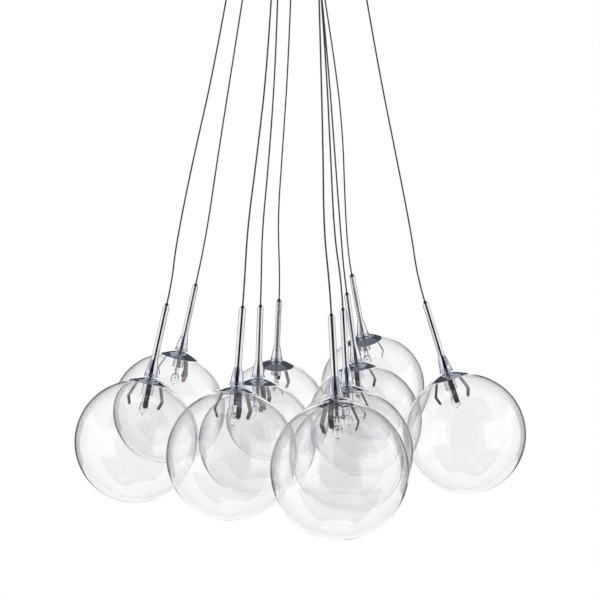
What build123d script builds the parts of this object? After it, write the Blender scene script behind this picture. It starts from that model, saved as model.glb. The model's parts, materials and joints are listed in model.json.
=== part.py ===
from build123d import *

import math
import os
from dataclasses import dataclass

# A cluster pendant: ten clear glass globes hang on ten thin cords from one round ceiling canopy.
# Millimetres. The origin is the middle of the ceiling face, +X to the viewer's right, +Y away
# from the viewer and +Z up.

# ---- the cluster -----------------------------------------------------------------------------
drop = 632.0             # ceiling down to the middle of the cluster
globe_d = 150.0          # outside of a glass globe
globe_gap = 2.0          # least space between two globes at rest

# ---- glass globe -----------------------------------------------------------------------------
globe_wall = 1.5
globe_hole_d = 35.0
globe_land = 1.2         # ground flat round the hole, where the glass meets the cap

# ---- cap disc, seen from the seat of the glass -----------------------------------------------
cap_overhang = 8.0       # rim out from the edge of the glass's hole
cap_rim_drop = 0.9       # rim's middle below the seat
cap_rim_t = 0.8
cap_shoulder = 0.6       # share of the dome's rise that is left half way out to the rim
cap_crest_h = 6.2        # crest of the dome above the seat
cap_crest_d = 15.0
cap_dip_w = 2.2          # the dip's outer edge, in from the crest and below it
cap_dip_h = 0.7
cap_neck_h = 4.0         # where the dome dips in to the stem
cap_seat_out = 0.7       # flat seat past the ground glass, and inside the hole's edge
cap_seat_in = 2.2
cap_hub_d = 17.0         # boss that the spring spider lies against
cap_recess_h = 2.0

# ---- cone and its rings ----------------------------------------------------------------------
cone_base_h = 7.4        # underside of the lower ring above the seat
cone_ring_d = 17.8
cone_ring_h = 2.4
cone_ring_round = 0.8
cone_groove_d = 15.4
cone_groove_h = 0.8
cone_collar_d = 16.6
cone_collar_h = 1.0
cone_collar_round = 0.4
cone_foot_d = 15.4
cone_top_wall = 0.7      # the cone's top round the stem
cone_lip_h = 1.0
cone_h = 17.4            # from the collar to the top
cone_swell = 0.25        # bulge of the cone's side

# ---- stem ------------------------------------------------------------------------------------
stem_d = 8.0
stem_bore = 5.4
stem_top = 97.4          # top of the tube above the seat
stem_tail = 4.0          # end of the tube below the seat, inside the lamp holder
ferrule_d = 4.4
ferrule_h = 3.0
ferrule_edge = 0.6
ferrule_plug = 8.0       # length inside the tube

# ---- spring spider ---------------------------------------------------------------------------
clip_count = 3
clip_w = 6.0
clip_t = 1.0
clip_slack = 0.3         # between a clip and the edge of the hole
clip_root_r = 2.0        # inner end of an arm's flat strip, in the ring
clip_draw_in = 0.4       # an arm's upper corner, in from its bend
clip_knee_out = 7.6      # knee beyond the hole's edge
clip_knee_drop = 20.5
clip_tip_out = 3.6
clip_tip_drop = 31.0
clip_bend = 3.0
spider_ring_d = 16.6

# ---- lamp holder -----------------------------------------------------------------------------
sleeve_d = 14.0
sleeve_wall = 0.8
sleeve_top_t = 1.6
sleeve_bottom = 15.4     # below the seat
socket_top = 4.6
socket_bottom = 14.2
pin_pitch = 4.0
pin_d = 0.7
pin_len = 7.0

# ---- halogen capsule -------------------------------------------------------------------------
pinch_w = 8.4
pinch_t = 3.2
pinch_len = 11.0
pinch_in = 2.0           # into the bulb
pinch_edge_r = 0.96
bulb_d = 10.4
bulb_len = 15.2
bulb_neck_d = 4.48
bulb_wide_drop = 6.84    # widest place below the bulb's top
bulb_shoulder = (4.472, 3.6)     # a point of the outline: radius, and height over the widest place
bulb_foot = (4.264, 2.4)         # and one above the bulb's lower end
lamp_tip_d = 2.0
lamp_tip_len = 2.6
lamp_tip_root = 0.3
lamp_tip_taper = ((0.8, 0.6), (0.3, 1.0))    # shares of the tip's radius and of its length

# ---- canopy ----------------------------------------------------------------------------------
canopy_d = 210.0
canopy_depth = 45.0
canopy_wall = 1.2
canopy_edge_r = 8.0
plate_t = 2.0
plate_gap = 0.8          # plate to the cup's wall
plate_wire_hole_d = 24.0
plate_holes_y = -24.0    # wire hole and ceiling slots, in front of the middle
ceiling_hole_span = 88.9
ceiling_slot_w = 4.8
ceiling_slot_len = 10.0
ear_w = 16.0
ear_drop = 12.0
ear_inset = 0.4          # from the plate's edge
ear_count = 3
side_screw_d = 4.0
side_screw_len = 6.0
side_screw_drop = 8.0
side_head_d = 7.5
side_head_h = 2.6
side_head_r = 1.56       # round of the head's edge
side_slot_w = 0.8
side_slot_depth = 0.6

# ---- cord bushings ---------------------------------------------------------------------------
outer_ring_inset = 21.0  # outer cord holes, in from the canopy's edge
inner_ring_r = 32.0
bushing_d = 7.0
bushing_flange_d = 13.0
bushing_flange_h = 4.0
bushing_flange_r = 1.5   # round of its lower edge
bushing_mouth_h = 2.5    # depth of the 45 degree bell mouth
nut_flats = 10.0
nut_h = 4.0
nut_over = 1.8           # barrel past the nut

# ---- inside the canopy -----------------------------------------------------------------------
block_len = 104.0
block_w = 16.0
block_h = 15.0
block_edge_r = 2.0
block_groove_w = 1.2     # grooves between the terminals, along both sides
block_groove_depth = 2.0
block_groove_top = 4.0   # below the plate
block_screw_inset = 4.0  # fixing screws, in from the block's ends
terminal_pitch = 9.5
terminal_screw_d = 4.4
terminal_screw_len = 5.0
terminal_screw_sink = 0.8        # head below the block's front
terminal_slot_w = 0.8
lead_bend_r = 6.0
transformer_len = 100.0
transformer_w = 40.0
transformer_h = 22.0
transformer_y = 44.0
transformer_edge_r = 3.0
transformer_bottom_r = 1.5
foot_len = 9.0
foot_w = 24.0
foot_t = 3.0
inner_screw_d = 3.5
inner_screw_end = 0.2    # below the ceiling
inner_head_d = 7.0
inner_head_h = 2.2
inner_head_r = 0.8
inner_slot_w = 0.9
inner_slot_depth = 0.8
inner_head_sink = 0.4    # heads below the block's face
earth_x = -70.0
earth_y = -30.0

# ---- cords -----------------------------------------------------------------------------------
cord_d = 2.0
cord_end_run = 30.0      # straight out of the ferrule
arc_share = 0.45         # of the shorter run beside it, the most that an arc takes

# ---- clearances ------------------------------------------------------------------------------
fit = 0.05               # between fixed pieces, one inside the other
running = 0.3            # between pieces that move past each other
cord_room = 0.5          # bushing bore round the cord
past = 1.0               # of a cutting shape, beyond the face that it cuts


@dataclass(frozen=True)
class Pendant:
    """One cord with its globe. The place is in globe pitches, the rest in millimetres and degrees."""

    place: tuple         # globe's centre right of, behind and above the middle of the cluster
    lean: tuple          # slope of the stem, to the right and to the back, for each unit up
    hole_r: float        # the cord's hole in the canopy, from the middle
    hole_at: float       # and its angle from +X
    turn: float          # turn of the spring clips about the stem
    terminal: int        # way of the terminal block
    bow: tuple           # the cord's points: share of the way down, then right and back


OUT, IN = canopy_d / 2 - outer_ring_inset, inner_ring_r
PENDANTS = [
    Pendant((-1.30, -0.50, 0.00), (0.216, 0.11), OUT, 189, 38, 0,
            ((0.28, 2.2, 0.8), (0.60, -2.4, -0.9), (0.84, -2.6, -1.2))),
    Pendant((-1.15, 0.52, 0.13), (0.230, -0.05), OUT, 144, 66, 2,
            ((0.26, 0.7, -0.9), (0.58, 1.4, 0.6), (0.80, 3.0, 0.4))),
    Pendant((-0.50, -1.11, -0.01), (0.071, 0.15), OUT, 250, 44, 1,
            ((0.30, 4.2, -0.5), (0.59, 0.9, 0.7), (0.78, -2.5, 0.4))),
    Pendant((-0.35, -0.06, -0.06), (0.034, 0.00), IN, 222, 52, 3,
            ((0.27, 3.0, 0.6), (0.58, 0.6, -0.5), (0.78, -3.0, -0.3))),
    Pendant((-0.23, 1.57, -0.04), (0.047, -0.25), OUT, 96, 81, 4,
            ((0.23, 0.3, 1.1), (0.52, -3.4, 0.6), (0.73, -6.3, -0.6))),
    Pendant((0.30, -1.72, -0.01), (-0.047, 0.30), OUT, 287, 13, 5,
            ((0.30, -1.1, 0.9), (0.57, -2.5, -0.4), (0.78, -5.0, -0.8))),
    Pendant((0.42, -0.72, -0.05), (-0.052, 0.13), IN, 328, 11, 7,
            ((0.28, 0.4, 1.2), (0.56, -2.0, 0.6), (0.79, -4.3, 0.9))),
    Pendant((0.58, 0.36, 0.04), (-0.138, -0.06), IN, 29, 24, 6,
            ((0.27, 1.4, 0.5), (0.60, -0.4, -0.8), (0.82, -1.2, -0.5))),
    Pendant((0.71, 1.34, 0.23), (-0.197, -0.28), OUT, 67, -3, 8,
            ((0.26, 6.5, 0.5), (0.50, 7.3, -0.6), (0.73, 1.0, 1.0))),
    Pendant((1.38, -0.30, 0.03), (-0.307, 0.05), OUT, 340, 30, 9,
            ((0.28, -2.4, 0.9), (0.57, -1.2, -0.6), (0.79, -0.5, 1.0))),
]

# ---- sizes worked out from those above -------------------------------------------------------
globe_r = globe_d / 2
pitch = globe_d + globe_gap
hole_r = globe_hole_d / 2
cap_d = globe_hole_d + 2 * cap_overhang
cone_top_d = stem_d + 2 * cone_top_wall
seat = math.sqrt(globe_r**2 - (hole_r + globe_land) ** 2)      # seat above the globe's centre
canopy_floor = canopy_wall - canopy_depth                      # inside of the canopy's bottom
cord_pivot = bushing_mouth_h - canopy_depth - bushing_flange_h # where a cord bends in its bushing
plate_r = canopy_d / 2 - canopy_wall - plate_gap
nut_top = canopy_floor + nut_h
bushing_top = nut_top + nut_over
bushing_bore_r = cord_d / 2 + cord_room
block_bottom = -plate_t - block_h
transformer_bottom = -plate_t - transformer_h
lead_level = (bushing_top + transformer_bottom) / 2            # the leads' level runs pass between


def save(name, *solids):
    """Write one sub-part, with each of its pieces as a solid of its own."""
    shape = Compound(children=[Solid(s.wrapped) for piece in solids for s in piece.solids()])
    export_step(shape, f"parts/{name}.step")


def turned(points_and_arcs):
    """Turn a closed outline, given as lines in the XZ plane, about the Z axis."""
    with BuildPart() as part:
        with BuildSketch(Plane.XZ):
            with BuildLine():
                points_and_arcs()
            make_face()
        revolve(axis=Axis.Z)
    return part.part


def rod(radius, low, high, x=0.0, y=0.0):
    """A round bar along Z from one height to another."""
    return Pos(x, y, low) * Cylinder(radius, high - low, align=(Align.CENTER, Align.CENTER, Align.MIN))


def block(length, width, low, high, x=0.0, y=0.0):
    """A plain block, centred in plan, from one height to another."""
    return Pos(x, y, low) * Box(length, width, high - low, align=(Align.CENTER, Align.CENTER, Align.MIN))


# ---- one pendant's pieces, along +Z with the globe's centre at the origin --------------------
def glass_globe():
    """Blown globe with a round hole and a ground flat on top."""
    inner_r = globe_r - globe_wall

    def outline():
        top = (hole_r + globe_land, seat)
        bottom = (0, -globe_r)
        inner_bottom = (0, -inner_r)
        inner_top = (hole_r, math.sqrt(inner_r**2 - hole_r**2))
        ThreePointArc(bottom, (globe_r, 0), top)
        Line(top, (hole_r, seat))
        Line((hole_r, seat), inner_top)
        ThreePointArc(inner_top, (inner_r, 0), inner_bottom)
        Line(inner_bottom, bottom)

    return turned(outline)


def cap_disc():
    """Shallow domed disc that covers the hole: a thin rim, a crest and a dip round the stem."""
    bore_r = stem_d / 2 + fit
    rim_r = cap_d / 2
    rim = seat - cap_rim_drop
    half_t = cap_rim_t / 2
    land_out = hole_r + globe_land + cap_seat_out
    land_in = hole_r - cap_seat_in
    crest = (cap_crest_d / 2, seat + cap_crest_h)

    def outline():
        shoulder_r = (rim_r + crest[0]) / 2
        shoulder = (shoulder_r, rim + half_t + cap_shoulder * (crest[1] - rim - half_t))
        Polyline((rim_r - half_t, rim - half_t), (land_out, seat), (land_in, seat),
                 (land_in, seat + cap_recess_h), (cap_hub_d / 2, seat + cap_recess_h),
                 (cap_hub_d / 2, seat), (bore_r, seat), (bore_r, seat + cap_neck_h))
        ThreePointArc((bore_r, seat + cap_neck_h), (crest[0] - cap_dip_w, crest[1] - cap_dip_h), crest)
        ThreePointArc(crest, shoulder, (rim_r - half_t, rim + half_t))
        ThreePointArc((rim_r - half_t, rim + half_t), (rim_r, rim), (rim_r - half_t, rim - half_t))

    return turned(outline)


def cone():
    """Slender cone on the stem, with a ring, a groove and a collar at its foot."""
    bore_r = stem_d / 2 + fit
    base = seat + cone_base_h
    ring_top = base + cone_ring_h
    collar_low = ring_top + cone_groove_h
    collar_top = collar_low + cone_collar_h
    top = collar_top + cone_h
    ring_r = cone_ring_d / 2
    foot = (cone_foot_d / 2, collar_top)
    tip = (cone_top_d / 2, top - cone_lip_h)
    swell = ((foot[0] + tip[0]) / 2 + cone_swell, (foot[1] + tip[1]) / 2)
    ring_in = ring_r - cone_ring_round
    collar_r = cone_collar_d / 2
    collar_in = collar_r - cone_collar_round

    def outline():
        Line((bore_r, base), (ring_in, base))
        ThreePointArc((ring_in, base), (ring_r, (base + ring_top) / 2), (ring_in, ring_top))
        Polyline((ring_in, ring_top), (cone_groove_d / 2, ring_top),
                 (cone_groove_d / 2, collar_low), (collar_in, collar_low))
        ThreePointArc((collar_in, collar_low), (collar_r, (collar_low + collar_top) / 2),
                      (collar_in, collar_top))
        Line((collar_in, collar_top), foot)
        ThreePointArc(foot, swell, tip)
        Polyline(tip, (bore_r, top), (bore_r, base))

    return turned(outline)


def stem_tube():
    """Straight tube from the lamp holder to the cord."""
    low, high = seat - stem_tail, seat + stem_top
    return rod(stem_d / 2, low, high) - rod(stem_bore / 2, low - past, high + past)


def ferrule():
    """Black cord grip: a plug in the tube's top with a small nipple above it."""
    top = seat + stem_top
    plug = rod(stem_bore / 2 - fit, top - ferrule_plug, top)
    nipple = rod(ferrule_d / 2, top, top + ferrule_h)
    return plug + chamfer(nipple.edges().group_by(Axis.Z)[-1], ferrule_edge)


def stem_lead():
    """The cord's cores inside the tube, from the ferrule down to the lamp socket."""
    return rod(cord_d / 2, seat - socket_top, seat + stem_top - ferrule_plug)


def spring_spider():
    """Thin ring with bent spring arms that hold the glass up against the cap."""
    ring = rod(spider_ring_d / 2, seat - clip_t, seat)
    bend_r = hole_r - clip_slack - clip_t / 2
    knee_r = hole_r + clip_knee_out - clip_t / 2
    tip_r = hole_r + clip_tip_out - clip_t / 2
    mid = seat - clip_t / 2
    with BuildSketch(Plane.XZ) as side:
        with BuildLine():
            path = FilletPolyline((clip_root_r, mid), (bend_r - clip_draw_in, mid),
                                  (knee_r, seat - clip_knee_drop), (tip_r, seat - clip_tip_drop),
                                  radius=clip_bend)
        trace(path, line_width=clip_t)
    strip = extrude(side.sketch, clip_w / 2, both=True)
    # the arm's end is a half circle, cut across the strip's width
    outward = (tip_r - knee_r, clip_knee_drop - clip_tip_drop)
    length = math.hypot(*outward)
    along = Vector(outward[0] / length, 0, outward[1] / length)
    end = Plane(origin=(tip_r, 0, seat - clip_tip_drop), x_dir=along,
                z_dir=along.cross(Vector(0, 1, 0)))
    corners = Box(clip_w, 2 * clip_w, 4 * clip_t) - Pos(-clip_w / 2, 0, 0) * (
        Cylinder(clip_w / 2, 4 * clip_t) + Pos(-clip_w / 2, 0, 0) * Box(clip_w, 2 * clip_w, 4 * clip_t))
    arm = strip - end * corners
    for k in range(clip_count):
        ring = ring + Rot(0, 0, 360 * k / clip_count) * arm
    return ring - rod(stem_d / 2 + fit, seat - clip_t - past, seat + past)


def holder_sleeve():
    """Bright cup screwed on to the tube's end, round the lamp socket."""
    top = seat - clip_t - fit
    outside = rod(sleeve_d / 2, seat - sleeve_bottom, top)
    inside = rod(sleeve_d / 2 - sleeve_wall, seat - sleeve_bottom - past, top - sleeve_top_t)
    return outside - inside - rod(stem_d / 2 + fit, top - sleeve_top_t - past, top + past)


def lamp_socket():
    """Ceramic two-pin socket inside the sleeve."""
    body = rod(sleeve_d / 2 - sleeve_wall - fit, seat - socket_bottom, seat - socket_top)
    for side in (-1, 1):
        body = body - rod(pin_d / 2 + running, seat - socket_bottom - past,
                          seat - socket_bottom + pin_len + past, x=side * pin_pitch / 2)
    return body


def capsule():
    """The lamp's glass: a flat pinch, a swollen bulb and a small drawn tip."""
    top = seat - socket_bottom - running
    pinch = block(pinch_w, pinch_t, top - pinch_len, top)
    pinch = fillet(pinch.edges().filter_by(Axis.Z), pinch_edge_r)
    bulb_top = top - pinch_len + pinch_in
    wide = bulb_top - bulb_wide_drop
    low = bulb_top - bulb_len
    tip_r = lamp_tip_d / 2
    tip = [(share * tip_r, low - along * lamp_tip_len) for share, along in lamp_tip_taper]

    def outline():
        Line((0, bulb_top), (bulb_neck_d / 2, bulb_top))
        ThreePointArc((bulb_neck_d / 2, bulb_top), (bulb_shoulder[0], wide + bulb_shoulder[1]),
                      (bulb_d / 2, wide))
        ThreePointArc((bulb_d / 2, wide), (bulb_foot[0], low + bulb_foot[1]), (tip_r, low + lamp_tip_root))
        Polyline((tip_r, low + lamp_tip_root), *tip, (0, low - lamp_tip_len), (0, bulb_top))

    return pinch + turned(outline)


def lamp_pins():
    """The lamp's two wire pins."""
    low = seat - socket_bottom - running
    return [rod(pin_d / 2, low, low + pin_len, x=side * pin_pitch / 2) for side in (-1, 1)]


# ---- where each pendant hangs ----------------------------------------------------------------
def stem_axis(p):
    """Unit vector up a pendant's stem."""
    return Vector(p.lean[0], p.lean[1], 1).normalized()


def globe_centre(p):
    """The middle of a pendant's globe."""
    return Vector(p.place[0] * pitch, p.place[1] * pitch, p.place[2] * pitch - drop)


def hang(p, shape):
    """Carry a piece made along +Z to where the pendant hangs."""
    frame = Plane(origin=globe_centre(p), x_dir=(1, 0, -p.lean[0]), z_dir=stem_axis(p))
    return frame * Rot(0, 0, p.turn) * shape


def cord_hole(p):
    """Where a pendant's cord leaves the canopy, in plan."""
    angle = math.radians(p.hole_at)
    return p.hole_r * math.cos(angle), p.hole_r * math.sin(angle)


def cord_route(p):
    """The cord's points, from its bushing to the ferrule."""
    start = Vector(*cord_hole(p), cord_pivot)
    end = globe_centre(p) + stem_axis(p) * (seat + stem_top + ferrule_h)
    points = [start]
    for share, right, back in p.bow:
        points.append(start + (end - start) * share + Vector(right, back, 0))
    return points + [end + stem_axis(p) * cord_end_run, end]


def tube_along(points, diameter, largest=None):
    """A round tube along straight runs and tangent arcs, with each arc as large as its runs allow."""
    radii = []
    for before, at, after in zip(points, points[1:], points[2:]):
        first, second = at - before, after - at
        half_turn = math.radians(first.get_angle(second)) / 2
        radius = arc_share * min(first.length, second.length) / math.tan(half_turn)
        radii.append(min(radius, largest) if largest else radius)
    path = FilletPolyline(*points, radius=radii)
    section = Plane(origin=points[0], z_dir=points[1] - points[0]) * Circle(diameter / 2)
    tube = sweep(section, path=path)
    expected = math.pi * diameter**2 / 4 * path.length
    print(f"  tube {path.length:.0f} mm, least radius {min(radii):.0f} mm,"
          f" volume {tube.volume / expected:.4f} of section x length")
    return tube


def save_pendants():
    """The five sub-parts of each pendant."""
    stem = [stem_tube(), cone(), cap_disc(), ferrule(), stem_lead(), holder_sleeve(), lamp_socket()]
    clips = spring_spider()
    lamp = [capsule(), *lamp_pins()]
    globe = glass_globe()
    for number, p in enumerate(PENDANTS, start=1):
        save(f"cord_{number:02d}", tube_along(cord_route(p), cord_d))
        save(f"stem_{number:02d}", *[hang(p, s) for s in stem])
        save(f"clips_{number:02d}", hang(p, clips))
        save(f"lamp_{number:02d}", *[hang(p, s) for s in lamp])
        save(f"globe_{number:02d}", hang(p, globe))


# ---- canopy ----------------------------------------------------------------------------------
def around(count, first):
    """Turns about Z, evenly spaced, from a first angle."""
    return [Rot(0, 0, first + 360 * k / count) for k in range(count)]


def crosswise(radius):
    """Lays a piece made along Z outwards along X, at the side screws' height."""
    return Pos(radius, 0, -side_screw_drop) * Rot(0, 90, 0)


def canopy_cup():
    """Spun steel cup with a hole for each cord and three side screw holes."""
    radius = canopy_d / 2

    def outline():
        inner = radius - canopy_wall
        inner_edge = canopy_edge_r - canopy_wall
        Line((0, -canopy_depth), (radius - canopy_edge_r, -canopy_depth))
        RadiusArc((radius - canopy_edge_r, -canopy_depth), (radius, -canopy_depth + canopy_edge_r),
                  -canopy_edge_r)
        Polyline((radius, -canopy_depth + canopy_edge_r), (radius, 0), (inner, 0),
                 (inner, canopy_floor + inner_edge))
        RadiusArc((inner, canopy_floor + inner_edge), (inner - inner_edge, canopy_floor), inner_edge)
        Polyline((inner - inner_edge, canopy_floor), (0, canopy_floor), (0, -canopy_depth))

    cup = turned(outline)
    for p in PENDANTS:
        x, y = cord_hole(p)
        cup = cup - rod(bushing_d / 2 + fit, -canopy_depth - past, canopy_floor + past, x, y)
    hole = crosswise(radius) * Cylinder(side_screw_d / 2 + fit, 4 * canopy_wall)
    for turn in around(ear_count, 90):
        cup = cup - turn * hole
    return cup


def mounting_plate():
    """Steel plate on the ceiling, with two slots, a wire hole and three ears for the cup's screws."""
    plate = rod(plate_r, -plate_t, 0)
    ear = block(plate_t, ear_w, -ear_drop, -plate_t / 2, x=plate_r - plate_t / 2 - ear_inset)
    tapped = crosswise(plate_r) * Cylinder(side_screw_d / 2 + fit, 4 * plate_t)
    for turn in around(ear_count, 90):
        plate = plate + turn * ear
        plate = plate - turn * tapped
    plate = plate - rod(plate_wire_hole_d / 2, -plate_t - past, past, y=plate_holes_y)
    outline = SlotOverall(ceiling_slot_len, ceiling_slot_w).moved(Pos(0, 0, -plate_t - past))
    slot = extrude(outline, plate_t + 2 * past)
    for side in (-1, 1):
        plate = plate - Pos(side * ceiling_hole_span / 2, plate_holes_y, 0) * slot
    for x, y, _ in inner_screw_places():
        plate = plate - rod(inner_screw_d / 2 + fit, -plate_t - past, past, x, y)
    return plate


def side_screws():
    """Three domed screws that hold the cup to the plate's ears."""
    head = Cylinder(side_head_d / 2, side_head_h, align=(Align.CENTER, Align.CENTER, Align.MIN))
    head = fillet(head.edges().group_by(Axis.Z)[-1], side_head_r)
    slot = Pos(0, 0, side_head_h) * Box(side_head_d + past, side_slot_w, 2 * side_slot_depth)
    shank = Cylinder(side_screw_d / 2, side_screw_len, align=(Align.CENTER, Align.CENTER, Align.MAX))
    screw = crosswise(canopy_d / 2) * (head - slot + shank)
    return [turn * screw for turn in around(ear_count, 90)]


def transformer():
    """Potted 12 volt transformer with a foot at each end, screwed up to the plate."""
    body = block(transformer_len, transformer_w, transformer_bottom, -plate_t, y=transformer_y)
    body = fillet(body.edges().filter_by(Axis.Z), transformer_edge_r)
    body = fillet(body.edges().group_by(Axis.Z)[0], transformer_bottom_r)
    under = -plate_t - foot_t
    whole = body + block(transformer_len + 2 * foot_len, foot_w, under, -plate_t, y=transformer_y)
    for side in (-1, 1):
        whole = whole - rod(inner_screw_d / 2 + fit, under - past, 0, side * foot_x(), transformer_y)
    return whole


def foot_x():
    """A transformer screw's distance from the middle."""
    return transformer_len / 2 + foot_len / 2


def terminal_x(way):
    """A terminal's place along the block."""
    return (way - (len(PENDANTS) - 1) / 2) * terminal_pitch


def terminal_block():
    """Moulded block with a terminal for each cord, grooves between them and two fixing holes."""
    body = block(block_len, block_w, block_bottom, -plate_t)
    body = fillet(body.edges().filter_by(Axis.Z), block_edge_r)
    for way in range(len(PENDANTS) - 1):
        gap = (terminal_x(way) + terminal_x(way + 1)) / 2
        for side in (-1, 1):
            body = body - block(block_groove_w, 2 * block_groove_depth, block_bottom - past,
                                -plate_t - block_groove_top, gap, side * block_w / 2)
    for side in (-1, 1):
        hole = rod(inner_screw_d / 2 + fit, block_bottom - past, 0, x=side * block_screw_x())
        sink = rod(inner_head_d / 2 + fit, block_bottom - past,
                   block_bottom + inner_head_h + inner_head_sink, x=side * block_screw_x())
        body = body - hole - sink
    for way in range(len(PENDANTS)):
        body = body - terminal_bore(way, terminal_screw_d / 2 + fit, past)
    return body


def terminal_bore(way, radius, front):
    """A round bar along Y at a terminal, from the front of the block, or past it, to a screw's end."""
    depth = terminal_screw_sink + terminal_screw_len + front
    bar = Cylinder(radius, depth, align=(Align.CENTER, Align.CENTER, Align.MAX))
    return Pos(terminal_x(way), -block_w / 2 - front, (block_bottom - plate_t) / 2) * Rot(90, 0, 0) * bar


def terminal_screws():
    """A slotted brass screw in the front of the block for each terminal."""
    screws = []
    slot_z = (block_bottom - plate_t) / 2
    head = -block_w / 2 + terminal_screw_sink
    for way in range(len(PENDANTS)):
        screw = terminal_bore(way, terminal_screw_d / 2, -terminal_screw_sink)
        slot = Box(2 * terminal_screw_d, 2 * terminal_slot_w, terminal_slot_w)
        screws.append(screw - Pos(terminal_x(way), head, slot_z) * slot)
    return screws


def block_screw_x():
    """A block screw's distance from the middle."""
    return block_len / 2 - block_screw_inset


def inner_screw_places():
    """Plan place and head height of each screw inside the canopy."""
    foot = -plate_t - foot_t
    places = [(side * foot_x(), transformer_y, foot) for side in (-1, 1)]
    sunk = block_bottom + inner_head_h + inner_head_sink
    places += [(side * block_screw_x(), 0.0, sunk) for side in (-1, 1)]
    return places + [(earth_x, earth_y, -plate_t)]


def inner_screws():
    """Pan head screws of the transformer and the terminal block, and the earth screw."""
    screws = []
    for x, y, under in inner_screw_places():
        low = under - inner_head_h
        head = rod(inner_head_d / 2, low, under, x, y)
        head = fillet(head.edges().group_by(Axis.Z)[0], inner_head_r)
        slot = block(inner_head_d + past, inner_slot_w, low - past, low + inner_slot_depth, x, y)
        screws.append(head - slot + rod(inner_screw_d / 2, under, -inner_screw_end, x, y))
    return screws


def bushing(p):
    """Threaded cord bushing, bell-mouthed below so the cord can lean any way."""
    x, y = cord_hole(p)
    flange = rod(bushing_flange_d / 2, -canopy_depth - bushing_flange_h, -canopy_depth, x, y)
    flange = fillet(flange.edges().group_by(Axis.Z)[0], bushing_flange_r)
    body = flange + rod(bushing_d / 2, -canopy_depth, bushing_top, x, y)
    mouth = Pos(x, y, cord_pivot - bushing_mouth_h) * Cone(
        bushing_bore_r + bushing_mouth_h, bushing_bore_r, bushing_mouth_h,
        align=(Align.CENTER, Align.CENTER, Align.MIN))
    bore = rod(bushing_bore_r, cord_pivot - bushing_mouth_h - past, bushing_top + past, x, y)
    return body - mouth - bore


def bushing_nut(p):
    """Hexagon nut inside the canopy."""
    x, y = cord_hole(p)
    hexagon = extrude(RegularPolygon(nut_flats / 2, 6, major_radius=False), nut_h)
    bore = rod(bushing_d / 2 + fit, canopy_floor - past, nut_top + past, x, y)
    return Pos(x, y, canopy_floor) * hexagon - bore


def inner_lead(p):
    """The cord inside the canopy, from its bushing up to its terminal."""
    x, y = cord_hole(p)
    end_x = terminal_x(p.terminal)
    low = cord_pivot + cord_d / 2 + running
    points = [Vector(x, y, low), Vector(x, y, lead_level), Vector(end_x, 0, lead_level),
              Vector(end_x, 0, block_bottom)]
    return tube_along(points, cord_d, largest=lead_bend_r)


def save_canopy():
    """The canopy's sub-parts."""
    save("mounting_plate", mounting_plate())
    save("canopy_cup", canopy_cup())
    save("canopy_side_screws", *side_screws())
    save("transformer", transformer())
    save("terminal_block", terminal_block())
    save("terminal_screws", *terminal_screws())
    save("inner_screws", *inner_screws())
    save("cord_bushings", *[bushing(p) for p in PENDANTS])
    save("bushing_nuts", *[bushing_nut(p) for p in PENDANTS])
    save("inner_leads", *[inner_lead(p) for p in PENDANTS])


def main():
    os.makedirs("parts", exist_ok=True)
    save_canopy()
    save_pendants()


main()
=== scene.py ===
"""Looks of a cluster pendant: ten clear glass globes on chrome stems, hung on thin cords from a canopy.

Metres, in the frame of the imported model: +X is the viewer's right, +Y points away from the viewer
and +Z up. The origin is the middle of the ceiling face.
"""

from __future__ import annotations

import json
import logging
import math
from dataclasses import dataclass, field
from enum import Enum

import bmesh
import bpy
from bmesh.types import BMEdge, BMesh, BMFace
from bpy.types import ID, Material, Mesh, NodeSocket, Object
from mathutils import Matrix, Vector

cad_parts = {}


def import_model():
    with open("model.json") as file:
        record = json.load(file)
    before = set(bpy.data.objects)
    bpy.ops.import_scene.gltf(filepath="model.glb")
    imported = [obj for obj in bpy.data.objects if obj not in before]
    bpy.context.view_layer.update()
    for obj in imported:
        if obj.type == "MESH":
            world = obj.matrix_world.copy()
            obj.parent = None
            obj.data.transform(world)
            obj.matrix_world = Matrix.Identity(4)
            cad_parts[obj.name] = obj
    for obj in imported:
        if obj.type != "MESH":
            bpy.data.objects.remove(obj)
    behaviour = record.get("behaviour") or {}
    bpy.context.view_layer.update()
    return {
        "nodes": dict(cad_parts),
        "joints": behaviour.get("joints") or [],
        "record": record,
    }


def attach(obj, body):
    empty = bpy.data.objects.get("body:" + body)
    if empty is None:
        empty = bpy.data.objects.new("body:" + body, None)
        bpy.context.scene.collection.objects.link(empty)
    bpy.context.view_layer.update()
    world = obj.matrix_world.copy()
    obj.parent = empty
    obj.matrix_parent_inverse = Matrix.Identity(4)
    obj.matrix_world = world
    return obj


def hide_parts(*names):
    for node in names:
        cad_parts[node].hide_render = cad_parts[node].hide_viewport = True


log = logging.getLogger("cluster_pendant")

Triple = tuple[float, float, float]

MERGE = 1e-6  # points nearer to each other than this are one
SHARP = math.radians(35)  # edges that bend by more than this are rounded
PATTERN_LOW, PATTERN_HIGH = 0.3, 0.7  # nearly all of a cloudy pattern's values lie between these
FULL_TURN = 2 * math.pi
MM = 0.001
X_AXIS, Y_AXIS, Z_AXIS = Vector((1, 0, 0)), Vector((0, 1, 0)), Vector((0, 0, 1))

STEM_R = 0.0040
FIT = 0.00005  # gap between a piece and the one that it sits on
BORE_R = STEM_R + FIT  # bore of all that sits on the stem


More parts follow.
